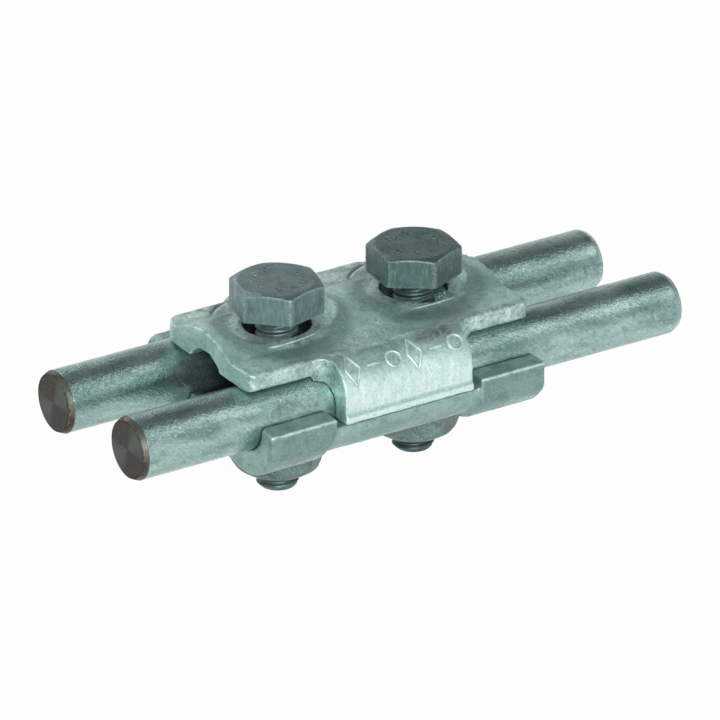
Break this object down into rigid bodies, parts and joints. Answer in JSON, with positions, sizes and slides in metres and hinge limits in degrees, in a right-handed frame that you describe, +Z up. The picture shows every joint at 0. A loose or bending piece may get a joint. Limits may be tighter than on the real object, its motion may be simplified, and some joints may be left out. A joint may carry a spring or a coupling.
{
  "type": "parallel groove clamp",
  "caption": "Bolted clamp that joins parallel round conductors between a grooved tray and a skirted cap, shown on sample conductors.",
  "frame": {"origin": "midway between the two bolts, in the plane through their lower ends", "axes": "+Z up along the bolts towards their heads, +X along the conductors, +Y from the front conductor to the rear one"},
  "size_m": [0.0994, 0.0366, 0.0345],
  "materials": {
    "zinc_casting": "hot-dip galvanised casting, rough",
    "bolt_steel": "dark zinc-coated steel, satin",
    "nut_steel": "zinc-coated steel, satin",
    "conductor_steel": "galvanised drawn steel, grainy"
  },
  "bodies": {
    "lower_clamp": {"lower_clamp": "zinc_casting"},
    "upper_clamp": {"upper_clamp": "zinc_casting"},
    "left_bolt": {"left_bolt": "bolt_steel"},
    "right_bolt": {"right_bolt": "bolt_steel"},
    "left_nut": {"left_nut": "nut_steel"},
    "right_nut": {"right_nut": "nut_steel"},
    "front_conductor": {"front_conductor": "conductor_steel"},
    "rear_conductor": {"rear_conductor": "conductor_steel"}
  },
  "joints": [
    {"name": "upper_clamp_lift", "type": "slide", "parent": "lower_clamp", "child": "upper_clamp", "axis": [0, 0, 1], "range_m": [0, 0.0019]},
    {"name": "left_bolt_turn", "type": "hinge", "parent": "lower_clamp", "child": "left_bolt", "pos_m": [-0.0125, 0, 0], "axis": [0, 0, 1], "range_deg": [0, 576]},
    {"name": "right_bolt_turn", "type": "hinge", "parent": "lower_clamp", "child": "right_bolt", "pos_m": [0.0125, 0, 0], "axis": [0, 0, 1], "range_deg": [0, 576]},
    {"name": "left_nut_travel", "type": "slide", "parent": "lower_clamp", "child": "left_nut", "axis": [0, 0, -1], "range_m": [0, 0.00201]},
    {"name": "right_nut_travel", "type": "slide", "parent": "lower_clamp", "child": "right_nut", "axis": [0, 0, -1], "range_m": [0, 0.00201]},
    {"name": "front_conductor_slide", "type": "slide", "parent": "lower_clamp", "child": "front_conductor", "axis": [1, 0, 0], "range_m": [-0.04, 0.04]},
    {"name": "rear_conductor_slide", "type": "slide", "parent": "lower_clamp", "child": "rear_conductor", "axis": [1, 0, 0], "range_m": [-0.04, 0.04]}
  ],
  "couplings": [
    {"joint": "left_nut_travel", "follows": "left_bolt_turn", "m_per_rad": 0.00019894},
    {"joint": "right_nut_travel", "follows": "right_bolt_turn", "m_per_rad": 0.00019894}
  ]
}
